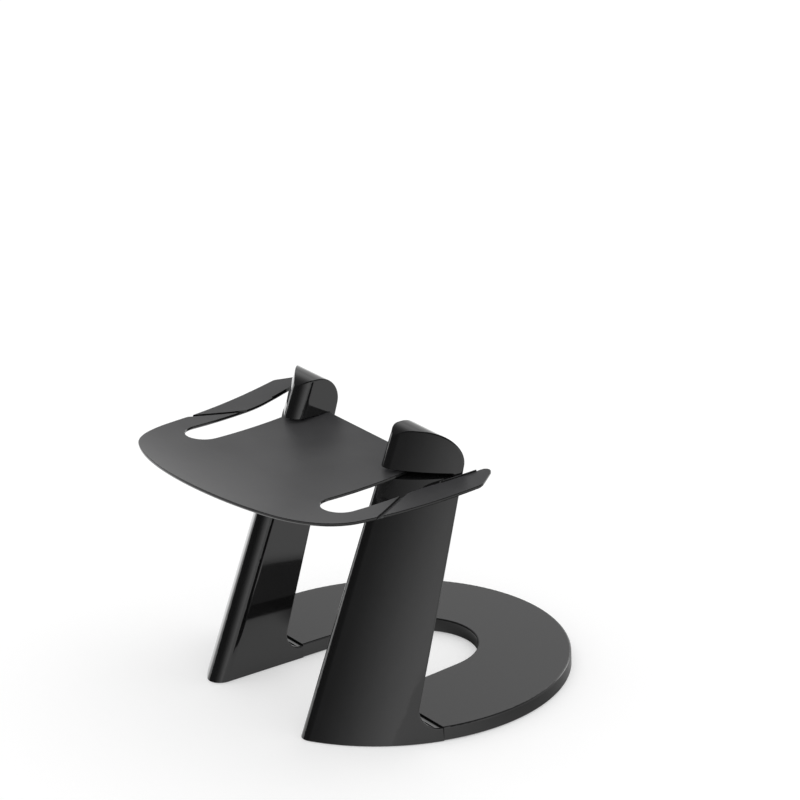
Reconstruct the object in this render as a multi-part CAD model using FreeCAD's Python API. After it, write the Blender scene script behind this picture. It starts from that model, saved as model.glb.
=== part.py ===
import FreeCAD, Part
import math
import os

from FreeCAD import Vector

os.makedirs("parts", exist_ok=True)

# Desk stand: a round base plate with a U shaped notch, two legs that lean back from its rim,
# and a dished tray that slides into a slot in each leg.
# The working frame has its origin at the centre of the plate's underside, -Y is the front,
# where the tray's raised edge is, and +Z is up. seat_and_export moves pieces to the part's frame.

# Base plate: its notch has straight sides in line with the legs, then a round end
BASE_R = 95.0
BASE_T = 7.6
BASE_EDGE = 0.9
NOTCH_END_R = 0.352 * BASE_R
NOTCH_CENTRE_Y = 0.170 * BASE_R
NOTCH_BEND_Y = -0.130 * BASE_R
NOTCH_BEND_R = 0.600 * BASE_R
PLATE_FRONT_Y = -0.307 * BASE_R

# Tray: a plate whose side view is a long low arc behind and a tighter arc that lifts the front
TRAY_T = 1.8
TRAY_LOW_Y = -59.0
TRAY_LOW_Z = 129.2
TRAY_BACK_ARC_R = 400.0
TRAY_FRONT_ARC_R = 159.0
TRAY_BEND_Y = -71.0
TRAY_CORNER_R = 49.0
TRAY_CORNER_X = 37.0
TRAY_CORNER_Y = -64.0
TRAY_FRONT_R = 130.0
TRAY_ARM_FLARE = 0.12
TRAY_TONGUE_HALF = 51.8
TRAY_TONGUE_R = 3.0
TRAY_TOP_EDGE = 0.25
TRAY_LOW_EDGE = 0.7
TRAY_BLANK_Y = (-145.0, 40.0)
TRAY_BLANK_Z = (TRAY_LOW_Z - 30.0, TRAY_LOW_Z + 70.0)

# Legs: the outer face is the base's own rim, leaned back as it rises
LEG_INNER_X = 0.3895 * BASE_R
LEG_NOSE_R = 7.1
LEG_LEAN = 0.415
LEG_BACK_FOOT_Y = -0.460 * BASE_R
LEG_BACK_LEAN = 0.317
LEG_CAP_H = 19.0
LEG_TOP_FRONT_R = 9.0
LEG_TOP_BACK_R = 12.0
LEG_EDGE = 0.8
LEG_TOP_MARGIN = 0.5
LEG_SECTION_BACK_Y = -0.210 * BASE_R
TOE_R = 8.5
TOE_DROP = 0.8

# Slot that takes the tray, cut through each leg from the nose
SLOT_H = 3.8
SLOT_TOP_Z = TRAY_LOW_Z + SLOT_H
SLOT_BACK_WALL = 4.1
SLOT_BACK_Y = LEG_BACK_FOOT_Y + LEG_BACK_LEAN * SLOT_TOP_Z - SLOT_BACK_WALL
SLOT_CORNER_R = 0.6
SLOT_HEADROOM = 30.0
LEG_TOP_Z = SLOT_TOP_Z + LEG_CAP_H
TRAY_TONGUE_CLEAR = 0.4
TRAY_TONGUE_BACK_Y = SLOT_BACK_Y - TRAY_TONGUE_CLEAR

# Arms of the tray, outside the legs
ARM_INNER_X = 72.8
ARM_BEND_Y = -27.0
ARM_BEND_R = 60.0
ARM_INNER_FLARE = 0.22
ARM_SHOULDER_Y = -3.3
ARM_SHOULDER_R = 4.0
ARM_TIP_SLOPE = -0.708
ARM_TIP_R = 3.5
OPENING_FRONT_Y = -66.0
LIP_W = 0.6
LIP_H = 0.8
LIP_START_Y = -16.0
LIP_END_Y = 3.0
GROOVE_W = 2.4
GROOVE_DEPTH = 1.3
GROOVE_OUTER = (88.6, -63.0)
GROOVE_INNER = (75.2, -40.1)
GROOVE_OVERRUN = 10.0

# Joint between leg and plate: a tongue of the leg lies in a pocket under the plate
TONGUE_T = 3.2
TONGUE_W = 30.0
TONGUE_L = 20.2
TONGUE_X = (LEG_INNER_X + 9.0, LEG_INNER_X + 9.0 + TONGUE_W)
TONGUE_BACK_Y = PLATE_FRONT_Y + TONGUE_L
TONGUE_ROOT = 8.0
TONGUE_CLEAR = 0.3
SCREW_INSET = 7.0
SCREW_X = (TONGUE_X[0] + SCREW_INSET, TONGUE_X[1] - SCREW_INSET)
SCREW_Y = PLATE_FRONT_Y + TONGUE_L / 2
SCREW_D = 3.0
SCREW_HEAD_D = 6.0
SCREW_HEAD_T = 1.6
SCREW_HEAD_SUNK = 0.3
SCREW_TIP_Z = 6.4
SCREW_BORE_CLEAR = 0.3
CROSS_W = 0.9
CROSS_L = 3.4
CROSS_DEPTH = 0.8

# Foot pads
PAD_D = 14.0
PAD_T = 1.6
PAD_PROUD = 0.5
PAD_CLEAR = 0.2
PAD_EDGE = 0.3
PLATE_PAD_INSET = 15.0
PLATE_PAD_ANGLES = (20.0, 90.0, 160.0)
LEG_PAD_X = LEG_INNER_X + 19.0
LEG_PAD_Y = PLATE_FRONT_Y - 30.8

# Cutters: a generous length, how far they pass a face, and how near an edge counts as found
FAR = 200.0
PASS = 1.0
FOUND = 0.01


def tray_arcs():
    """Centres of the two arcs of the tray's top line: height of the one behind, place of the one in front."""
    back_centre_z = TRAY_LOW_Z + TRAY_BACK_ARC_R
    turn = math.asin((TRAY_BEND_Y - TRAY_LOW_Y) / TRAY_BACK_ARC_R)
    bend_z = back_centre_z - TRAY_BACK_ARC_R * math.cos(turn)
    front_centre_y = TRAY_BEND_Y - TRAY_FRONT_ARC_R * math.sin(turn)
    front_centre_z = bend_z + TRAY_FRONT_ARC_R * math.cos(turn)
    return back_centre_z, front_centre_y, front_centre_z


def tray_top_z(y):
    """Height of the tray's top face at y."""
    back_centre_z, front_centre_y, front_centre_z = tray_arcs()
    if y >= TRAY_BEND_Y:
        return back_centre_z - math.sqrt(TRAY_BACK_ARC_R ** 2 - (y - TRAY_LOW_Y) ** 2)
    return front_centre_z - math.sqrt(TRAY_FRONT_ARC_R ** 2 - (y - front_centre_y) ** 2)


def offset_curve_point(y, drop):
    """Point of the tray's side line, drop below the top face, square to it, as (y, z)."""
    back_centre_z, front_centre_y, front_centre_z = tray_arcs()
    z = tray_top_z(y)
    if y >= TRAY_BEND_Y:
        centre_y, centre_z, radius = TRAY_LOW_Y, back_centre_z, TRAY_BACK_ARC_R
    else:
        centre_y, centre_z, radius = front_centre_y, front_centre_z, TRAY_FRONT_ARC_R
    grow = (radius + drop) / radius
    return centre_y + (y - centre_y) * grow, centre_z + (z - centre_z) * grow


def side_point(y, z):
    return Vector(0, y, z)


def tray_line(front_y, back_y, drop):
    """Edges of the tray's side line from back to front, drop below the top face."""
    stations = (back_y, (back_y + TRAY_BEND_Y) / 2, TRAY_BEND_Y, (TRAY_BEND_Y + front_y) / 2, front_y)
    points = [side_point(*offset_curve_point(y, drop)) for y in stations]
    back = Part.Arc(points[0], points[1], points[2]).toShape()
    front = Part.Arc(points[2], points[3], points[4]).toShape()
    return [back, front], points[0], points[4]


def tray_band(low_drop, high_drop):
    """The tray's side section between two depths below its top face, drawn out across the stand."""
    front_y, back_y = TRAY_BLANK_Y
    low, low_back, low_front = tray_line(front_y, back_y, low_drop)
    high, high_back, high_front = tray_line(front_y, back_y, high_drop)
    ends = [
        Part.LineSegment(low_back, high_back).toShape(),
        Part.LineSegment(low_front, high_front).toShape(),
    ]
    wire = Part.Wire(Part.__sortEdges__(low + high + ends))
    face = Part.Face(wire)
    face.translate(Vector(-FAR / 2, 0, 0))
    return face.extrude(Vector(FAR, 0, 0))


def rounded_path(corners):
    """Edges of an open path of straight runs through (x, y, radius) corners, radius 0 at the ends."""
    edges = []
    start = Vector(corners[0][0], corners[0][1], 0)
    for i in range(1, len(corners) - 1):
        corner = Vector(corners[i][0], corners[i][1], 0)
        before = (Vector(corners[i - 1][0], corners[i - 1][1], 0) - corner).normalize()
        after = (Vector(corners[i + 1][0], corners[i + 1][1], 0) - corner).normalize()
        radius = corners[i][2]
        if radius == 0:
            edges.append(Part.LineSegment(start, corner).toShape())
            start = corner
            continue
        half = before.getAngle(after) / 2
        run = radius / math.tan(half)
        bisector = (before + after).normalize()
        centre = corner + bisector * (radius / math.sin(half))
        enter = corner + before * run
        leave = corner + after * run
        middle = centre - bisector * radius
        edges.append(Part.LineSegment(start, enter).toShape())
        edges.append(Part.Arc(enter, middle, leave).toShape())
        start = leave
    edges.append(Part.LineSegment(start, Vector(corners[-1][0], corners[-1][1], 0)).toShape())
    return edges


def arc_about(centre, radius, from_angle, to_angle):
    """Arc in plan about a centre, angles in radians."""
    spots = []
    for angle in (from_angle, (from_angle + to_angle) / 2, to_angle):
        spots.append(Vector(centre[0] + radius * math.cos(angle), centre[1] + radius * math.sin(angle), 0))
    return Part.Arc(*spots).toShape(), spots[2]


def prism(edges, low_z, high_z):
    """Solid over a closed outline in plan."""
    face = Part.Face(Part.Wire(Part.__sortEdges__(edges)))
    face.translate(Vector(0, 0, low_z))
    return face.extrude(Vector(0, 0, high_z - low_z))


def mirrored(shape):
    return shape.mirror(Vector(0, 0, 0), Vector(1, 0, 0))


def box(x0, x1, y0, y1, z0, z1):
    return Part.makeBox(x1 - x0, y1 - y0, z1 - z0, Vector(x0, y0, z0))


def cylinder(diameter, x, y, z0, z1):
    return Part.makeCylinder(diameter / 2, z1 - z0, Vector(x, y, z0))


def leg_back_y(z):
    """Where the plane of the leg's back edge stands at height z."""
    return LEG_BACK_FOOT_Y + LEG_BACK_LEAN * z


def nose_centre():
    """Centre of the nose's rounding at the floor, which touches the inner face and the rim."""
    nose_x = LEG_INNER_X + LEG_NOSE_R
    return nose_x, -math.sqrt((BASE_R - LEG_NOSE_R) ** 2 - nose_x ** 2)


def leg_section_edges():
    """Plan of a leg at the floor: the base's rim outside, a flat face inside, a round nose in front."""
    nose_x, nose_y = nose_centre()
    tangent_angle = math.atan2(nose_y, nose_x)
    back_angle = math.asin(LEG_SECTION_BACK_Y / BASE_R)
    nose = arc_about((nose_x, nose_y), LEG_NOSE_R, -math.pi, tangent_angle)[0]
    rim, rim_back = arc_about((0, 0), BASE_R, tangent_angle, back_angle)
    nose_inner = Vector(LEG_INNER_X, nose_y, 0)
    inner_back = Vector(LEG_INNER_X, LEG_SECTION_BACK_Y, 0)
    return [
        Part.LineSegment(inner_back, nose_inner).toShape(),
        nose,
        rim,
        Part.LineSegment(rim_back, inner_back).toShape(),
    ]


def across(corners):
    """Prism across the stand over a side outline of (y, z, radius) corners, closed at its first corner."""
    closed = corners + [corners[0]]
    edges = rounded_path(closed)
    face = Part.Face(Part.Wire(Part.__sortEdges__(edges)))
    face.rotate(Vector(0, 0, 0), Vector(1, 1, 1), 120)
    return face.extrude(Vector(FAR, 0, 0))


def leg_side():
    """Side view of a leg: toe that meets the plate, sweep up to the leaning back edge, round top."""
    toe_z = BASE_T - TOE_DROP
    nose_front_y = nose_centre()[1] - LEG_NOSE_R - LEG_TOP_MARGIN
    shoulder_z = LEG_TOP_Z - 3 * LEG_TOP_FRONT_R
    return across([
        (-FAR, 0, 0),
        (PLATE_FRONT_Y, 0, 0),
        (PLATE_FRONT_Y, toe_z, 0),
        (leg_back_y(toe_z), toe_z, TOE_R),
        (leg_back_y(LEG_TOP_Z), LEG_TOP_Z, LEG_TOP_BACK_R),
        (nose_front_y + LEG_LEAN * LEG_TOP_Z, LEG_TOP_Z, LEG_TOP_FRONT_R),
        (nose_front_y + LEG_LEAN * shoulder_z, shoulder_z, 0),
        (-FAR, shoulder_z, 0),
    ])


def slot_cutter():
    """Space from the tray's underside up to the slot's level ceiling, open at the nose."""
    above = tray_band(TRAY_T, -SLOT_HEADROOM)
    room = across([
        (-FAR, SLOT_TOP_Z - SLOT_HEADROOM, 0),
        (SLOT_BACK_Y, SLOT_TOP_Z - SLOT_HEADROOM, 0),
        (SLOT_BACK_Y, SLOT_TOP_Z, SLOT_CORNER_R),
        (-FAR, SLOT_TOP_Z, 0),
    ])
    return above.common(room)


def pad_places():
    reach = BASE_R - PLATE_PAD_INSET
    places = []
    for angle in PLATE_PAD_ANGLES:
        turn = math.radians(angle)
        places.append((reach * math.cos(turn), reach * math.sin(turn)))
    places.append((LEG_PAD_X, LEG_PAD_Y))
    places.append((-LEG_PAD_X, LEG_PAD_Y))
    return places


def pad_recess(x, y):
    return cylinder(PAD_D + 2 * PAD_CLEAR, x, y, -PASS, PAD_T - PAD_PROUD)


def edges_at(shape, height):
    """Edges that lie level at a height."""
    found = []
    for edge in shape.Edges:
        span = edge.BoundBox
        if abs(span.ZMin - height) < FOUND and abs(span.ZMax - height) < FOUND:
            found.append(edge)
    return found


def notch_cutter():
    """Notch, open to the front: straight sides, a slight taper, and a round end that the taper touches."""
    bend = math.hypot(LEG_INNER_X, NOTCH_BEND_Y - NOTCH_CENTRE_Y)
    turn = math.atan2(NOTCH_BEND_Y - NOTCH_CENTRE_Y, LEG_INNER_X) + math.acos(NOTCH_END_R / bend)
    end, left = arc_about((0, NOTCH_CENTRE_Y), NOTCH_END_R, turn, math.pi - turn)
    side = rounded_path([
        (LEG_INNER_X, -FAR, 0),
        (LEG_INNER_X, NOTCH_BEND_Y, NOTCH_BEND_R),
        (-left.x, left.y, 0),
    ])
    front = Part.LineSegment(Vector(-LEG_INNER_X, -FAR, 0), Vector(LEG_INNER_X, -FAR, 0)).toShape()
    return prism([front, end] + side + [mirrored(edge) for edge in side], -PASS, BASE_T + PASS)


def make_base_plate():
    """Disc with the notch and the straight front cut out, its edges broken, then recessed below."""
    plate = Part.makeCylinder(BASE_R, BASE_T)
    plate = plate.cut(notch_cutter())
    plate = plate.makeFillet(BASE_EDGE, edges_at(plate, BASE_T))
    plate = plate.makeChamfer(BASE_EDGE / 2, edges_at(plate, 0))
    plate = plate.cut(box(-FAR, FAR, -FAR, PLATE_FRONT_Y, -PASS, BASE_T + PASS))
    pocket = box(
        TONGUE_X[0] - TONGUE_CLEAR, TONGUE_X[1] + TONGUE_CLEAR,
        PLATE_FRONT_Y - PASS, TONGUE_BACK_Y + TONGUE_CLEAR,
        -PASS, TONGUE_T,
    )
    for side in (1, -1):
        plate = plate.cut(pocket if side > 0 else mirrored(pocket))
        for x in SCREW_X:
            plate = plate.cut(cylinder(SCREW_D, side * x, SCREW_Y, 0, SCREW_TIP_Z))
    for x, y in pad_places()[:len(PLATE_PAD_ANGLES)]:
        plate = plate.cut(pad_recess(x, y))
    return plate


def back_edges(leg):
    """Edges of a leg that lie in the plane of its back edge."""
    found = []
    for edge in leg.Edges:
        ends = [edge.valueAt(t) for t in (edge.FirstParameter, edge.LastParameter)]
        ends.append(edge.valueAt((edge.FirstParameter + edge.LastParameter) / 2))
        if all(abs(spot.y - leg_back_y(spot.z)) < FOUND for spot in ends):
            found.append(edge)
    return found


def make_leg():
    """The leg on the +X side."""
    section = Part.Face(Part.Wire(Part.__sortEdges__(leg_section_edges())))
    rise = LEG_TOP_Z + PASS
    leg = section.extrude(Vector(0, LEG_LEAN * rise, rise)).common(leg_side())
    leg = leg.makeFillet(LEG_EDGE, [e for e in back_edges(leg) if e.BoundBox.ZLength > BASE_T])
    leg = leg.cut(slot_cutter())
    tongue = box(TONGUE_X[0], TONGUE_X[1], PLATE_FRONT_Y - TONGUE_ROOT, TONGUE_BACK_Y, 0, TONGUE_T)
    leg = leg.fuse(tongue).removeSplitter()
    for x in SCREW_X:
        leg = leg.cut(cylinder(SCREW_D + 2 * SCREW_BORE_CLEAR, x, SCREW_Y, -PASS, TONGUE_T + PASS))
        leg = leg.cut(cylinder(SCREW_HEAD_D + 2 * SCREW_BORE_CLEAR, x, SCREW_Y, -PASS, head_top_z()))
    return leg.cut(pad_recess(LEG_PAD_X, LEG_PAD_Y))


def head_top_z():
    """Height of the face that the screw heads bear on."""
    return SCREW_HEAD_T + SCREW_HEAD_SUNK


def make_screw(x, y):
    low, top = SCREW_HEAD_SUNK, head_top_z()
    head = cylinder(SCREW_HEAD_D, x, y, low, top)
    shank = cylinder(SCREW_D, x, y, top, SCREW_TIP_Z)
    half_w, half_l, deep = CROSS_W / 2, CROSS_L / 2, low + CROSS_DEPTH
    bar = box(x - half_l, x + half_l, y - half_w, y + half_w, low - PASS, deep)
    post = box(x - half_w, x + half_w, y - half_l, y + half_l, low - PASS, deep)
    return head.fuse(shank).removeSplitter().cut(bar.fuse(post))


def make_pad(x, y):
    pad = cylinder(PAD_D, x, y, -PAD_PROUD, PAD_T - PAD_PROUD)
    return pad.makeChamfer(PAD_EDGE, edges_at(pad, -PAD_PROUD))


def arm_line_x(y):
    """The arm's inner edge behind its bend."""
    return ARM_INNER_X + ARM_INNER_FLARE * (y - ARM_BEND_Y)


def arm_outer_x(y):
    """The arm's outer edge, tangent to the tray's front corner."""
    reach = TRAY_CORNER_R * math.hypot(1, TRAY_ARM_FLARE)
    return TRAY_CORNER_X + reach + TRAY_ARM_FLARE * (y - TRAY_CORNER_Y)


def tray_half_outline():
    """Right half of the tray's plan, from the middle of its front to the middle of its back edge."""
    gap = TRAY_FRONT_R - TRAY_CORNER_R
    front_centre_y = TRAY_CORNER_Y + math.sqrt(gap ** 2 - TRAY_CORNER_X ** 2)
    turn = math.atan2(TRAY_CORNER_Y - front_centre_y, TRAY_CORNER_X)
    flare = math.atan(TRAY_ARM_FLARE)
    front = arc_about((0, front_centre_y), TRAY_FRONT_R, -math.pi / 2, turn)[0]
    corner_centre = (TRAY_CORNER_X, TRAY_CORNER_Y)
    corner, corner_end = arc_about(corner_centre, TRAY_CORNER_R, turn, -flare)
    shoulder_x = arm_outer_x(ARM_SHOULDER_Y)
    # apex where the sloping end of the arm would meet its inner edge
    rise = (shoulder_x - arm_line_x(ARM_SHOULDER_Y)) / (ARM_INNER_FLARE - ARM_TIP_SLOPE)
    apex_y = ARM_SHOULDER_Y + rise
    opening_r = (ARM_INNER_X - TRAY_TONGUE_HALF) / 2
    arm = rounded_path([
        (corner_end.x, corner_end.y, 0),
        (shoulder_x, ARM_SHOULDER_Y, ARM_SHOULDER_R),
        (arm_line_x(apex_y), apex_y, ARM_TIP_R),
        (ARM_INNER_X, ARM_BEND_Y, ARM_BEND_R),
        (ARM_INNER_X, OPENING_FRONT_Y, 0),
    ])
    opening_centre = (TRAY_TONGUE_HALF + opening_r, OPENING_FRONT_Y)
    opening = arc_about(opening_centre, opening_r, 0, -math.pi)[0]
    tongue = rounded_path([
        (TRAY_TONGUE_HALF, OPENING_FRONT_Y, 0),
        (TRAY_TONGUE_HALF, TRAY_TONGUE_BACK_Y, TRAY_TONGUE_R),
        (0, TRAY_TONGUE_BACK_Y, 0),
    ])
    return [front, corner] + arm + [opening] + tongue


def lip_plan():
    start_x = arm_line_x(LIP_START_Y)
    end_x = arm_line_x(LIP_END_Y)
    return rounded_path([
        (start_x, LIP_START_Y, 0),
        (end_x, LIP_END_Y, 0),
        (end_x + LIP_W, LIP_END_Y, 0),
        (start_x + LIP_W, LIP_START_Y, 0),
        (start_x, LIP_START_Y, 0),
    ])


def groove_cutter():
    """Diagonal groove across the right arm, cut down from the tray's top face."""
    outer = Vector(GROOVE_OUTER[0], GROOVE_OUTER[1], 0)
    inner = Vector(GROOVE_INNER[0], GROOVE_INNER[1], 0)
    along = (inner - outer).normalize()
    side = Vector(-along.y, along.x, 0) * (GROOVE_W / 2)
    outer = outer - along * GROOVE_OVERRUN
    inner = inner + along * GROOVE_OVERRUN
    spots = [outer + side, inner + side, inner - side, outer - side, outer + side]
    plan = prism(rounded_path([(s.x, s.y, 0) for s in spots]), *TRAY_BLANK_Z)
    return plan.common(tray_band(GROOVE_DEPTH, -GROOVE_OVERRUN))


def rim_edges(tray, drop):
    """Edges round the tray's top or bottom face, without the line where the two arcs meet."""
    found = []
    for edge in tray.Edges:
        span = edge.BoundBox
        upright = span.XLength < FOUND and span.YLength < FOUND
        bend = span.YLength < FOUND and abs(span.YMin - TRAY_BEND_Y) < TRAY_T
        middle = edge.valueAt((edge.FirstParameter + edge.LastParameter) / 2)
        level = abs(tray_top_z(middle.y) - middle.z - drop) < TRAY_T / 4
        if level and not upright and not bend:
            found.append(edge)
    return found


def make_tray():
    """Dished plate with two arms, a lip on each arm's inner edge and a groove across each arm."""
    half = tray_half_outline()
    outline = half + [mirrored(e) for e in half]
    tray = prism(outline, *TRAY_BLANK_Z).common(tray_band(TRAY_T, 0)).removeSplitter()
    tray = tray.makeChamfer(TRAY_TOP_EDGE, rim_edges(tray, 0))
    tray = tray.makeChamfer(TRAY_LOW_EDGE, rim_edges(tray, TRAY_T))
    lip = prism(lip_plan(), *TRAY_BLANK_Z).common(tray_band(0, -LIP_H))
    groove = groove_cutter()
    for side in (1, -1):
        tray = tray.fuse(lip if side > 0 else mirrored(lip))
        tray = tray.cut(groove if side > 0 else mirrored(groove))
    return tray.removeSplitter()


def single_solid(shape):
    """The one solid of a finished piece."""
    solids = shape.Solids
    if len(solids) != 1:
        raise ValueError("expected one solid, found %d" % len(solids))
    return solids[0]


def front_reach():
    gap = TRAY_FRONT_R - TRAY_CORNER_R
    return TRAY_FRONT_R - TRAY_CORNER_Y - math.sqrt(gap ** 2 - TRAY_CORNER_X ** 2)


def seat_and_export(name, shape):
    """Moves a piece so that the origin lies under the middle of the stand's box, on the floor."""
    moved = shape.copy()
    moved.translate(Vector(0, (front_reach() - BASE_R) / 2, PAD_PROUD))
    moved.exportStep("parts/%s.step" % name)
    size = moved.optimalBoundingBox()
    print(name, "volume %.0f" % moved.Volume, "valid", moved.isValid(),
          "x %.1f %.1f" % (size.XMin, size.XMax),
          "y %.1f %.1f" % (size.YMin, size.YMax),
          "z %.1f %.1f" % (size.ZMin, size.ZMax))


def build():
    seat_and_export("base_plate", single_solid(make_base_plate()))
    leg = single_solid(make_leg())
    seat_and_export("leg_right", leg)
    seat_and_export("leg_left", mirrored(leg))
    seat_and_export("tray", single_solid(make_tray()))
    screws = [make_screw(side * x, SCREW_Y) for side in (1, -1) for x in SCREW_X]
    seat_and_export("base_screws", Part.makeCompound(screws))
    for number, (x, y) in enumerate(pad_places(), 1):
        seat_and_export("foot_pad_%d" % number, make_pad(x, y))


build()
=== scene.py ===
import bpy
import math
from mathutils import Matrix, Vector


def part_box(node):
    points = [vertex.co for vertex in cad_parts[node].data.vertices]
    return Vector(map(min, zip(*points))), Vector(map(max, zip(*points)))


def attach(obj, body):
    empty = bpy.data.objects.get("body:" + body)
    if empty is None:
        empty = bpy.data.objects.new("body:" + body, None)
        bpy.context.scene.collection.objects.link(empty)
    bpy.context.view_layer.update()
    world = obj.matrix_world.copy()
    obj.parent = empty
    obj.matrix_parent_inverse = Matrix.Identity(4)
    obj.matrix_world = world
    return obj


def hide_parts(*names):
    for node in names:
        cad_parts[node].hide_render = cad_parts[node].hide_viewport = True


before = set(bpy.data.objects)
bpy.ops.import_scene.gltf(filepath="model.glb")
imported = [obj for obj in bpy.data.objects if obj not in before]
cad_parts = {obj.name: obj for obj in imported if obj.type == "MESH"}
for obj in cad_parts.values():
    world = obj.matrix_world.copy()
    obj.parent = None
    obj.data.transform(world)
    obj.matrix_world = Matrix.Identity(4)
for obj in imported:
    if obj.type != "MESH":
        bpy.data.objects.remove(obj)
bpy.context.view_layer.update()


# Base plate. A round plate with a U shaped notch, injection moulded in black plastic.
# The mould's face for its top is satin, while its rim and rounded edges come out polished.

class Strand:
    """One output socket of a node tree, with arithmetic written as expressions."""

    def __init__(self, tree, socket):
        self.tree = tree
        self.socket = socket

    def node(self, kind, settings=None, out=0, **inputs):
        """Adds a node. An input is a socket's name, with _ for a space, or i and its number."""
        made = self.tree.nodes.new(kind)
        for name, value in (settings or {}).items():
            setattr(made, name, value)
        for name, value in inputs.items():
            key = int(name[1:]) if name[0] == "i" and name[1:].isdigit() else name.replace("_", " ")
            if isinstance(value, Strand):
                value = [value]
            if isinstance(value, list):
                for strand in value:
                    self.tree.links.new(strand.socket, made.inputs[key])
            else:
                made.inputs[key].default_value = value
        return Strand(self.tree, made.outputs[out])

    def maths(self, operation, *values):
        numbered = {"i%d" % number: value for number, value in enumerate(values)}
        return self.node("ShaderNodeMath", {"operation": operation}, **numbered)

    def vector(self, operation, *values, out=0):
        """A Vector Math node. Its second output, 1, is the number of a dot product, length or distance."""
        numbered = {"i%d" % number: value for number, value in enumerate(values)}
        return self.node("ShaderNodeVectorMath", {"operation": operation}, out=out, **numbered)

    def along(self, direction):
        """How far this vector reaches along a direction."""
        return self.vector("DOT_PRODUCT", self, direction, out=1)

    def __add__(self, other):
        return self.maths("ADD", self, other)

    def __mul__(self, other):
        return self.maths("MULTIPLY", self, other)

    def __sub__(self, other):
        return self.maths("SUBTRACT", self, other)

    def __rsub__(self, other):
        return self.maths("SUBTRACT", other, self)

    def __truediv__(self, other):
        return self.maths("DIVIDE", self, other)

    __radd__ = __add__
    __rmul__ = __mul__

    def band(self, low, high):
        """0 below low, 1 above high, a smooth step between."""
        return self.node("ShaderNodeMapRange", {"interpolation_type": "SMOOTHSTEP"},
                         i0=self, i1=low, i2=high, i3=0.0, i4=1.0)

    def blend(self, dark, light):
        """A colour between two, by this value."""
        return self.node("ShaderNodeMix", {"data_type": "RGBA"}, out=2, i0=self, i6=dark, i7=light)

    def feed(self, shader, name):
        """Links this strand to a socket of the shader."""
        self.tree.links.new(self.socket, shader.inputs[name])


def new_material(name):
    """A material with a plain Principled shader: the material, the shader and the place on the object."""
    material = bpy.data.materials.new(name)
    material.use_nodes = True
    tree = material.node_tree
    place = Strand(tree, tree.nodes.new("ShaderNodeTexCoord").outputs["Object"])
    return material, tree.nodes["Principled BSDF"], place


def black_plastic(name, seed, tone, polish, sheen=0.5, inward=0.0, edge=None):
    """Moulded black plastic of a body tone and a roughness, with faint waves, haze and fine hairlines.

    edge is the tone and the roughness of the faces that don't look up or down, where they differ.
    A flat face that looks inward, to +X or -X, leans by the mould's draft of under 3 degrees.
    """
    wave_height, draft = 0.0000018, 0.046
    material, shader, place = new_material(name)
    shift = place.vector("ADD", place, (seed, 0.37 * seed, 0.71 * seed))
    haze = place.node("ShaderNodeTexNoise", Vector=shift, Scale=24.0, Detail=3.0, Roughness=0.55)
    ripple = place.node("ShaderNodeTexNoise", Vector=shift, Scale=160.0, Detail=1.0, Roughness=0.4)
    speck = place.node("ShaderNodeTexNoise", Vector=shift, Scale=2600.0, Detail=1.0, Roughness=0.5)
    drawn = place.node("ShaderNodeMapping", i0=shift, i2=(0.2, 0.5, 0.9), i3=(1.0, 30.0, 30.0))
    hairline = place.node("ShaderNodeTexNoise", Vector=drawn, Scale=90.0, Detail=2.0, Roughness=0.6)
    body = (haze.band(0.35, 0.65) * 0.7 + speck.band(0.3, 0.7) * 0.3).blend(
        (0.85 * tone, 0.85 * tone, 0.88 * tone, 1), (1.15 * tone, 1.15 * tone, 1.18 * tone, 1))
    rough = polish + haze.band(0.35, 0.7) * 0.02 + hairline.band(0.62, 0.72) * 0.03
    facing = place.node("ShaderNodeNewGeometry", out=1)
    if edge:
        edge_tone, edge_polish = edge
        upward = facing.along((0.0, 0.0, 1.0))
        face = upward.maths("ABSOLUTE", upward).band(0.74, 0.86)
        body = face.blend((edge_tone, edge_tone, edge_tone, 1), body)
        rough = rough * face + (1.0 - face) * edge_polish
    lean = place.node("ShaderNodeCombineXYZ", Z=facing.along((inward, 0.0, 0.0)).band(0.96, 0.995) * draft)
    drafted = place.vector("NORMALIZE", place.vector("ADD", facing, lean))
    relief = ripple + speck * 0.12
    body.feed(shader, "Base Color")
    rough.feed(shader, "Roughness")
    place.node("ShaderNodeBump", Strength=1.0, Distance=wave_height, Height=relief, Normal=drafted).feed(
        shader, "Normal")
    shader.inputs["Specular IOR Level"].default_value = sheen
    return material


def dress(node, material):
    """Gives a CAD node its finish."""
    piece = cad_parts[node]
    piece.data.materials.clear()
    piece.data.materials.append(material)


dress("base_plate", black_plastic("black_plate_plastic", 1.3, 0.013, 0.22, edge=(0.010, 0.10)))


# Legs. Two mirrored mouldings of polished black plastic, each screwed under the plate by a tongue.
# Each has a round nose, a flat inner face, a toe that meets the plate in a seam, and a slot
# below its cap that holds the tray.

leg_tone, leg_polish = 0.007, 0.045
for side, seed, inward in (("right", 4.1, -1.0), ("left", 7.7, 1.0)):
    plastic = black_plastic("black_leg_plastic_" + side, seed, leg_tone, leg_polish, inward=inward)
    dress("leg_" + side, plastic)


# Tray. A thin dished moulding of black plastic with two arms, which slides into the legs' slots.
# Its faces are satin and its cut edges are polished.

dress("tray", black_plastic("black_tray_plastic", 11.9, 0.058, 0.40, 0.35, edge=(0.010, 0.14)))


# Base screws. Four pan head screws of zinc plated steel wire, cold headed, with a cross recess.
# They go up through the legs' tongues into the plate, and only the underside shows their heads.

screw_steel, shader, place = new_material("zinc_plated_steel")
brushed = place.node("ShaderNodeTexNoise", Vector=place, Scale=900.0, Detail=3.0, Roughness=0.6)
passivation = place.node("ShaderNodeTexNoise", Vector=place, Scale=160.0, Detail=1.0, Roughness=0.5)
passivation.band(0.3, 0.7).blend((0.50, 0.50, 0.52, 1), (0.60, 0.59, 0.55, 1)).feed(shader, "Base Color")
(0.28 + brushed * 0.16).feed(shader, "Roughness")
shader.inputs["Metallic"].default_value = 1.0


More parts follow.
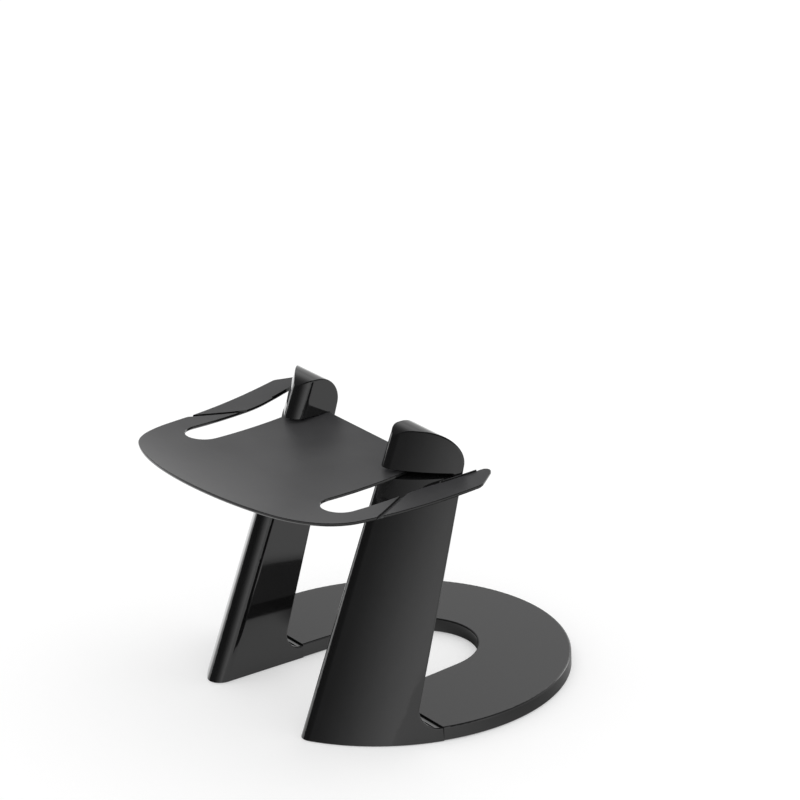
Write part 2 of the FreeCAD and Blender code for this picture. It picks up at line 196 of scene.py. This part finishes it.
def sized_tree(name, sizes):
    """A Geometry Nodes tree that takes places and named sizes: the tree and the strands of its inputs."""
    tree = bpy.data.node_groups.new(name, "GeometryNodeTree")
    tree.interface.new_socket("Places", in_out="INPUT", socket_type="NodeSocketGeometry")
    for size in sizes:
        tree.interface.new_socket(size, in_out="INPUT", socket_type="NodeSocketFloat")
    tree.interface.new_socket("Geometry", in_out="OUTPUT", socket_type="NodeSocketGeometry")
    entry = tree.nodes.new("NodeGroupInput")
    return tree, [Strand(tree, socket) for socket in entry.outputs if socket.name]


def raised(shape, height):
    """The shape, moved up by a height."""
    up = shape.node("ShaderNodeCombineXYZ", Z=height)
    return shape.node("GeometryNodeSetPosition", Geometry=shape, Offset=up)


def close_tree(tree, places, shape, material):
    """Puts the shape on each place, turned at random, as real geometry of one material."""
    full_turn = 2.0 * math.pi
    turn = places.node("FunctionNodeRandomValue", {"data_type": "FLOAT"}, out=1, i2=0.0, i3=full_turn, Seed=5)
    turned = places.node("ShaderNodeCombineXYZ", Z=turn)
    put = places.node("GeometryNodeInstanceOnPoints", Points=places, Instance=shape, Rotation=turned)
    real = places.node("GeometryNodeRealizeInstances", Geometry=put)
    painted = places.node("GeometryNodeSetMaterial", Geometry=real, Material=material)
    tree.links.new(painted.socket, tree.nodes.new("NodeGroupOutput").inputs[0])


def grow(name, tree, places, sizes):
    """The piece that a tree makes at the places, with its sizes in metres, as a plain mesh."""
    seeds = bpy.data.meshes.new(name + "_places")
    seeds.from_pydata(places, [], [])
    piece = bpy.data.objects.new(name, seeds)
    bpy.context.scene.collection.objects.link(piece)
    maker = piece.modifiers.new("maker", "NODES")
    maker.node_group = tree
    for item in tree.interface.items_tree:
        if item.in_out == "INPUT" and item.name in sizes:
            maker[item.identifier] = sizes[item.name]
    mesh = bpy.data.meshes.new_from_object(piece.evaluated_get(bpy.context.evaluated_depsgraph_get()))
    piece.modifiers.clear()
    piece.data = mesh
    mesh.name = name
    mesh.shade_smooth()
    mesh.set_sharp_from_angle(angle=math.radians(32.0))
    return piece


screw_sizes = {"Head Diameter": 0.0060, "Head Height": 0.0016, "Shank Diameter": 0.0030, "Shank Length": 0.0045,
               "Recess Width": 0.0008, "Recess Reach": 0.0034, "Recess Depth": 0.0009}
tree, strands = sized_tree("pan_head_screw", screw_sizes)
places, head_d, head_h, shank_d, shank_l, recess_w, recess_r, recess_d = strands
blank = places.node("GeometryNodeMeshCylinder", {"fill_type": "NGON"}, Vertices=48, Side_Segments=4,
                    Fill_Segments=7, Radius=head_d * 0.5, Depth=head_h)
spot = places.node("GeometryNodeInputPosition")
outward = places.vector("LENGTH", places.vector("MULTIPLY", spot, (1.0, 1.0, 0.0)), out=1) / (head_d * 0.5)
downward = places.node("ShaderNodeSeparateXYZ", out=2, i0=spot) / (head_h * -1.0)
domed = raised(raised(blank, head_h * -0.5), outward * outward * downward * head_h * 0.5)
bars = []
for bar_x, bar_y in ((recess_r, recess_w), (recess_w, recess_r)):
    bar_size = places.node("ShaderNodeCombineXYZ", X=bar_x, Y=bar_y, Z=recess_d * 2.0)
    bars.append(raised(places.node("GeometryNodeMeshCube", Size=bar_size), head_h * -1.0))
head = places.node("GeometryNodeMeshBoolean", {"operation": "DIFFERENCE", "solver": "EXACT"}, i0=domed, i1=bars)
wire = places.node("GeometryNodeMeshCylinder", Vertices=32, Radius=shank_d * 0.5, Depth=shank_l + head_h * 0.2)
shank = raised(wire, shank_l * 0.5 - head_h * 0.1)
close_tree(tree, places, places.node("GeometryNodeJoinGeometry", Geometry=[head, shank]), screw_steel)

screw_low, screw_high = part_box("base_screws")
screw_pitch = 0.016
outer_screw = screw_high.x - 0.5 * screw_sizes["Head Diameter"]
screw_line = (screw_low.y + screw_high.y) / 2
head_seat = screw_low.z + screw_sizes["Head Height"]
screw_places = [(side * x, screw_line, head_seat) for side in (1, -1) for x in (outer_screw, outer_screw - screw_pitch)]
screws = grow("base_screws_zinc", tree, screw_places, screw_sizes)
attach(screws, "root")
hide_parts("base_screws")


# Foot pads. Five round pads of moulded black rubber, pressed into shallow round pockets.
# Their lower face is ground flat, with a small bevel and three rings for grip.

pad_rubber, shader, place = new_material("black_pad_rubber")
grit = place.node("ShaderNodeTexNoise", Vector=place, Scale=1200.0, Detail=2.0, Roughness=0.6)
dust = place.node("ShaderNodeTexNoise", Vector=place, Scale=110.0, Detail=3.0, Roughness=0.6)
dust.band(0.4, 0.75).blend((0.018, 0.018, 0.018, 1), (0.032, 0.031, 0.030, 1)).feed(shader, "Base Color")
(0.74 + grit * 0.12).feed(shader, "Roughness")
place.node("ShaderNodeBump", Strength=0.5, Distance=0.00006, Height=grit).feed(shader, "Normal")

pad_sizes = {"Diameter": 0.014, "Thickness": 0.0016, "Edge": 0.0003, "Groove Depth": 0.00025}
ring_starts, ring_slope, ring_width = (0.28, 0.52, 0.74), 0.05, 0.08
tree, (places, pad_d, pad_t, pad_edge, groove) = sized_tree("ringed_foot_pad", pad_sizes)
disc = places.node("GeometryNodeMeshCylinder", {"fill_type": "NGON"}, Vertices=96, Side_Segments=4,
                   Fill_Segments=28, Radius=pad_d * 0.5, Depth=pad_t)
spot = places.node("GeometryNodeInputPosition")
flat_spot = places.vector("MULTIPLY", spot, (1.0, 1.0, 0.0))
share = places.vector("LENGTH", flat_spot, out=1) / (pad_d * 0.5)
upward = places.node("ShaderNodeSeparateXYZ", out=2, i0=spot)
at_face = upward.maths("LESS_THAN", upward, pad_t * -0.49)
at_rim = share.maths("GREATER_THAN", share, 0.99)
rings = share * 0.0
for start in ring_starts:
    end = start + ring_width
    rings = rings + share.band(start, start + ring_slope) * (1.0 - share.band(end, end + ring_slope))
lifted = places.node("ShaderNodeCombineXYZ", Z=rings * at_face * groove)
pulled = places.node("ShaderNodeVectorMath", {"operation": "SCALE"}, i0=places.vector("NORMALIZE", flat_spot),
                     Scale=at_rim * at_face * pad_edge * -1.0)
moved = places.vector("ADD", lifted, pulled)
ringed = places.node("GeometryNodeSetPosition", Geometry=disc, Offset=moved)
close_tree(tree, places, raised(ringed, pad_t * 0.5), pad_rubber)
for number in range(1, 6):
    node = "foot_pad_%d" % number
    low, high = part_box(node)
    pad = grow(node + "_rubber", tree, [((low.x + high.x) / 2, (low.y + high.y) / 2, low.z)], pad_sizes)
    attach(pad, "root")
    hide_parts(node)


# Floor. A plain white studio sweep, which keeps the stand's soft shadow.
# Gloss plastic mirrors it as white, but with painted shade close behind the base and inside its notch, which only the
# reflections see.

reach = 6.0
floor_mesh = bpy.data.meshes.new("studio_floor")
floor_mesh.from_pydata([(-reach, -reach, 0), (reach, -reach, 0), (reach, reach, 0), (-reach, reach, 0)],
                       [], [(0, 1, 2, 3)])
floor = bpy.data.objects.new("studio_floor", floor_mesh)
bpy.context.scene.collection.objects.link(floor)
floor_paint, shader, place = new_material("white_floor")
shader.inputs["Roughness"].default_value = 0.9
shader.inputs["Specular IOR Level"].default_value = 0.0
shader.inputs["Emission Color"].default_value = (1, 1, 1, 1)
seen = place.node("ShaderNodeLightPath")
mirrored_in = place.node("ShaderNodeLightPath", out=3)
# Painted shade in the floor as reflections see it: a mask close behind the base and inside the notch, where the stand's
# shade falls.
behind = place.along((0.35, 0.94, 0.0)).band(0.01, 0.09)
from_base = place.vector("DISTANCE", place, (0.0, 0.0135, 0.0), out=1)
from_notch = place.vector("DISTANCE", place, (0.015, 0.043, 0.0), out=1)
painted_shade_behind_base = behind * (1.0 - from_base.band(0.110, 0.135)) * 0.8
painted_floor_shade = behind.maths("MAXIMUM", painted_shade_behind_base, 1.0 - from_notch.band(0.022, 0.042))
# Where the painted shade lies, reflections see less glow and a darker floor colour.
(seen * 0.42 + mirrored_in * (1.0 - painted_floor_shade) * 0.60).feed(shader, "Emission Strength")
(mirrored_in * painted_floor_shade * 0.8).blend((0.66, 0.66, 0.66, 1), (0.15, 0.15, 0.15, 1)).feed(shader, "Base Color")
floor_mesh.materials.append(floor_paint)


# Light. A white surround that fades overhead, to the front left and in the far right corner.
# A soft box stands at the right, and a small soft light close behind the stand.

surround = bpy.data.worlds.new("studio_surround")
surround.use_nodes = True
bpy.context.scene.world = surround
tree = surround.node_tree
sky = tree.nodes["Background"]
towards = Strand(tree, tree.nodes.new("ShaderNodeTexCoord").outputs["Generated"])
seen = towards.node("ShaderNodeLightPath")
mirrored_in = towards.node("ShaderNodeLightPath", out=3)
height = towards.along((0.0, 0.0, 1.0))
away_from_front_left = towards.along((0.6, 0.8, 0.0)).band(-1.02, 0.6)
overhead = height.band(0.45, 0.85)
corner = towards.along((0.5, 0.866, 0.0)).band(0.76, 0.92) * height.band(0.06, 0.26)
to_soft_box = towards.along((0.9, -0.43, 0.08))
soft_box = to_soft_box.maths("POWER", to_soft_box.maths("MAXIMUM", to_soft_box, 0.0), 5.0)
back_light = towards.along((-0.19, 0.95, 0.24)).band(0.968, 0.988)
lit = (0.05 + away_from_front_left * 1.08 + soft_box * 0.70) * (1.0 - overhead * 0.96) * (1.0 - corner * 0.75)
lit = lit + back_light * 2.2
(seen + mirrored_in * lit + (1.0 - seen - mirrored_in) * 0.95).feed(sky, "Strength")
sky.inputs["Color"].default_value = (1, 1, 1, 1)


# Camera. It stands as the photograph's did, with its distance in base radii and its angles in
# degrees. The heading, pitch and roll turn it a little off the middle of the base.

base_radius = 0.095
azimuth, elevation = math.radians(56.22), math.radians(25.05)
heading, pitch, roll = math.radians(56.22 - 0.33), math.radians(21.26), math.radians(-2.22)
distance = 22.013 * base_radius
plate_low, plate_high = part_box("base_plate")
base_centre = Vector((0, plate_high.y - base_radius, plate_low.z))
station = base_centre + distance * Vector((
    math.cos(elevation) * math.sin(azimuth), -math.cos(elevation) * math.cos(azimuth), math.sin(elevation)))
ahead = Vector((-math.cos(pitch) * math.sin(heading), math.cos(pitch) * math.cos(heading), -math.sin(pitch)))
level = Vector((math.cos(heading), math.sin(heading), 0))
right = math.cos(roll) * level + math.sin(roll) * level.cross(ahead)
upward = right.cross(ahead)
camera = bpy.data.cameras.new("photo_camera")
camera.lens = 180.0
camera.sensor_width = 36.0
camera.clip_end = 50.0
viewer = bpy.data.objects.new("photo_camera", camera)
viewer.matrix_world = Matrix.Translation(station) @ Matrix((right, upward, -ahead)).transposed().to_4x4()
bpy.context.scene.collection.objects.link(viewer)
bpy.context.scene.camera = viewer

bpy.context.scene.view_settings.view_transform = "Standard"
